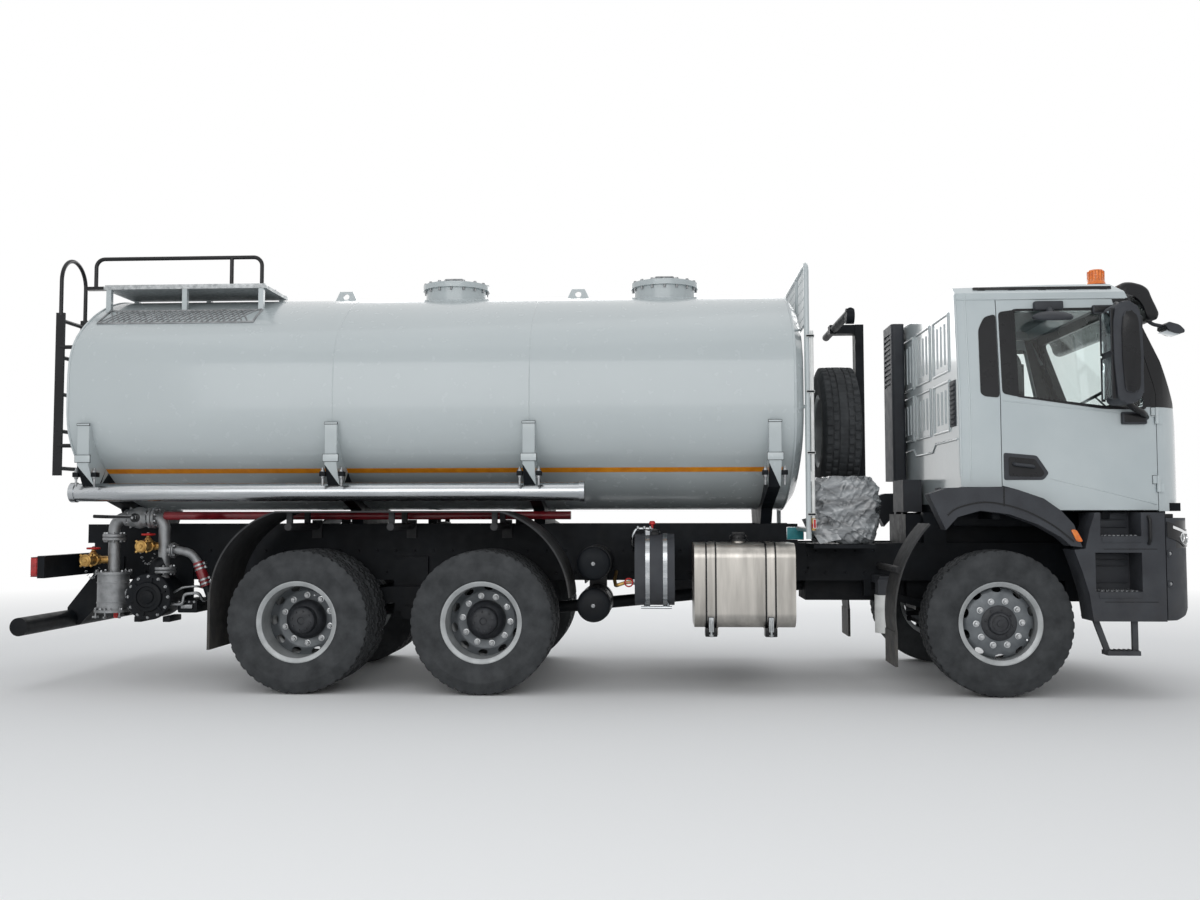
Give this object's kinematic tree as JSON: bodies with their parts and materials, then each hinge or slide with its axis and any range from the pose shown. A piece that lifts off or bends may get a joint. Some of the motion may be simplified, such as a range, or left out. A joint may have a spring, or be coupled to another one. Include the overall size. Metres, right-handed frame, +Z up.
{
  "type": "tanker truck",
  "caption": "Off-road tank truck with a forward tilting cab, hinged doors, steered front wheels, twin rear axles, a long oval tank with manholes, and a side pump with hose tubes",
  "frame": {"origin": "on the ground under the middle of the truck's overall box", "axes": "+X points forward along the truck, +Y to its left side, +Z up"},
  "size_m": [8.8838, 2.94, 3.456],
  "materials": {
    "tank_paint": "satin",
    "cab_paint": "gloss",
    "chassis_black": "satin",
    "tyre": "matte",
    "rim_paint": "satin",
    "bright_steel": "satin",
    "aluminium": "satin",
    "brass": "satin",
    "red_paint": "satin",
    "black_plastic": "matte",
    "glass": "gloss",
    "lamp_plastic": "gloss",
    "film": "gloss"
  },
  "bodies": {
    "chassis": {"frame_rails": "chassis_black", "frame_brackets": "chassis_black", "subframe": "chassis_black", "driveline": "chassis_black", "front_axle": "chassis_black", "rear_axles": "chassis_black", "leaf_springs": "chassis_black", "tank_shell": "tank_paint", "tank_fittings": "tank_paint", "hose_tubes": "bright_steel", "water_line": "red_paint", "ladder_and_rail": "chassis_black", "front_guard": "tank_paint", "pump_pipework": "bright_steel", "pump_unit": "chassis_black", "brass_valves": "brass", "underrun_bar": "chassis_black", "lamps": "lamp_plastic", "fuel_tank": "aluminium", "reservoirs": "black_plastic", "side_boxes": "black_plastic", "mudguards": "black_plastic", "spare_tyre": "tyre", "spare_rim": "rim_paint", "spare_carrier": "chassis_black", "wrapped_bundle": "film", "bumper": "black_plastic", "entry_steps": "black_plastic"},
    "cab": {"cab_floor": "cab_paint", "cab_roof": "cab_paint", "cab_back_panel": "cab_paint", "cab_front_panel": "cab_paint", "windscreen": "glass", "roof_fittings": "black_plastic", "cab_interior": "black_plastic", "arch_flares": "black_plastic", "air_intake": "black_plastic"},
    "door_right": {"door_right": "cab_paint", "door_glass_right": "glass", "door_mirror_right": "black_plastic"},
    "door_left": {"door_left": "cab_paint", "door_glass_left": "glass", "door_mirror_left": "black_plastic"},
    "knuckle_right": {"knuckle_right": "chassis_black"},
    "knuckle_left": {"knuckle_left": "chassis_black"},
    "tie_rod": {"tie_rod": "chassis_black"},
    "wheel_front_right": {"tyre_front_right": "tyre", "rim_front_right": "rim_paint"},
    "wheel_front_left": {"tyre_front_left": "tyre", "rim_front_left": "rim_paint"},
    "wheel_mid_right": {"tyre_mid_right": "tyre", "rim_mid_right": "rim_paint"},
    "wheel_mid_left": {"tyre_mid_left": "tyre", "rim_mid_left": "rim_paint"},
    "wheel_rear_right": {"tyre_rear_right": "tyre", "rim_rear_right": "rim_paint"},
    "wheel_rear_left": {"tyre_rear_left": "tyre", "rim_rear_left": "rim_paint"}
  },
  "joints": [
    {"name": "cab_tilt", "type": "hinge", "parent": "chassis", "child": "cab", "pos_m": [4.33, 0, 1.05], "axis": [0, 1, 0], "range_deg": [0, 60]},
    {"name": "door_right_swing", "type": "hinge", "parent": "cab", "child": "door_right", "pos_m": [4.163, -1.15, 1.8], "axis": [0, 0, 1], "range_deg": [0, 80]},
    {"name": "door_left_swing", "type": "hinge", "parent": "cab", "child": "door_left", "pos_m": [4.163, 1.15, 1.8], "axis": [0, 0, -1], "range_deg": [0, 80]},
    {"name": "steer_right", "type": "hinge", "parent": "chassis", "child": "knuckle_right", "pos_m": [3.002, -0.84, 0.538], "axis": [0, 0, 1], "range_deg": [-38, 38]},
    {"name": "steer_left", "type": "hinge", "parent": "chassis", "child": "knuckle_left", "pos_m": [3.002, 0.84, 0.538], "axis": [0, 0, 1], "range_deg": [-38, 38]},
    {"name": "tie_rod_swing", "type": "hinge", "parent": "knuckle_right", "child": "tie_rod", "pos_m": [2.762, -0.84, 0.401], "axis": [0, 0, 1], "range_deg": [-38, 38]},
    {"name": "wheel_front_right_spin", "type": "hinge", "parent": "knuckle_right", "child": "wheel_front_right", "pos_m": [3.002, -1.0225, 0.538], "axis": [0, 1, 0], "continuous": true},
    {"name": "wheel_front_left_spin", "type": "hinge", "parent": "knuckle_left", "child": "wheel_front_left", "pos_m": [3.002, 1.0225, 0.538], "axis": [0, 1, 0], "continuous": true},
    {"name": "wheel_mid_right_spin", "type": "hinge", "parent": "chassis", "child": "wheel_mid_right", "pos_m": [-0.818, -0.912, 0.538], "axis": [0, 1, 0], "continuous": true},
    {"name": "wheel_mid_left_spin", "type": "hinge", "parent": "chassis", "child": "wheel_mid_left", "pos_m": [-0.818, 0.912, 0.538], "axis": [0, 1, 0], "continuous": true},
    {"name": "wheel_rear_right_spin", "type": "hinge", "parent": "chassis", "child": "wheel_rear_right", "pos_m": [-2.213, -0.912, 0.538], "axis": [0, 1, 0], "continuous": true},
    {"name": "wheel_rear_left_spin", "type": "hinge", "parent": "chassis", "child": "wheel_rear_left", "pos_m": [-2.213, 0.912, 0.538], "axis": [0, 1, 0], "continuous": true}
  ],
  "couplings": [
    {"joint": "steer_left", "follows": "steer_right", "ratio": 1},
    {"joint": "tie_rod_swing", "follows": "steer_right", "ratio": -1}
  ]
}
